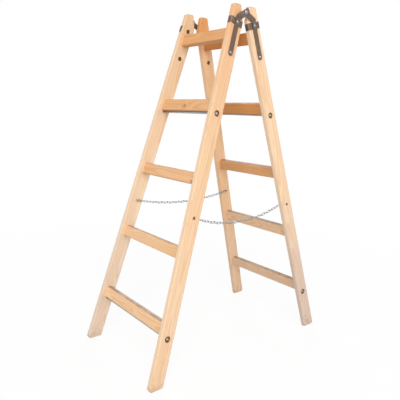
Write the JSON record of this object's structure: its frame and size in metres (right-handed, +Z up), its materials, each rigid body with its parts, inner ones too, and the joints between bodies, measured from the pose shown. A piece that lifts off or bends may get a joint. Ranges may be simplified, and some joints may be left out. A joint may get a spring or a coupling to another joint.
{
  "type": "two-sided wooden rung ladder",
  "caption": "Free-standing wooden stepladder: two tapering rung ladders hinged at the top by steel straps, held open by spreader chains, tied by steel rods under some rungs.",
  "frame": {"origin": "on the floor, in the middle of the four feet, with the ladder standing open", "axes": "+Z up, X along the rungs, -Y towards the front ladder"},
  "size_m": [0.5042, 0.9384, 1.3881],
  "materials": {
    "stile_wood": "varnished pine",
    "rung_wood": "varnished, darker",
    "hinge_steel": "dark, worn",
    "chain_steel": "zinc plated",
    "bright_steel": "zinc plated"
  },
  "bodies": {
    "front_ladder": {"front_left_stile": "stile_wood", "front_right_stile": "stile_wood", "front_left_hinge_strap": "hinge_steel", "front_right_hinge_strap": "hinge_steel", "front_left_collar": "hinge_steel", "front_right_collar": "hinge_steel", "front_rung_1": "rung_wood", "front_rung_2": "rung_wood", "front_rung_3": "rung_wood", "front_rung_4": "rung_wood", "front_rung_5": "rung_wood", "front_lower_tie_rod": "bright_steel", "front_upper_tie_rod": "bright_steel", "front_tie_rod_washers": "bright_steel", "front_tie_rod_nuts": "bright_steel", "front_strap_bolts": "bright_steel", "front_strap_nuts": "bright_steel", "front_eye_bolts": "bright_steel", "front_eye_nuts": "bright_steel", "pivot_rivets": "bright_steel", "pivot_washers": "bright_steel", "left_chain": "chain_steel", "right_chain": "chain_steel"},
    "rear_ladder": {"rear_left_stile": "stile_wood", "rear_right_stile": "stile_wood", "rear_left_hinge_strap": "hinge_steel", "rear_right_hinge_strap": "hinge_steel", "rear_left_collar": "hinge_steel", "rear_right_collar": "hinge_steel", "rear_rung_1": "rung_wood", "rear_rung_2": "rung_wood", "rear_rung_3": "rung_wood", "rear_rung_4": "rung_wood", "rear_rung_5": "rung_wood", "rear_lower_tie_rod": "bright_steel", "rear_upper_tie_rod": "bright_steel", "rear_tie_rod_washers": "bright_steel", "rear_tie_rod_nuts": "bright_steel", "rear_strap_bolts": "bright_steel", "rear_strap_nuts": "bright_steel", "rear_eye_bolts": "bright_steel", "rear_eye_nuts": "bright_steel"}
  },
  "joints": [
    {"name": "fold", "type": "hinge", "parent": "front_ladder", "child": "rear_ladder", "pos_m": [0, -0.006, 1.36006], "axis": [-1, 0, 0], "range_deg": [0, 33.4], "deforming": ["left_chain", "right_chain"]}
  ]
}
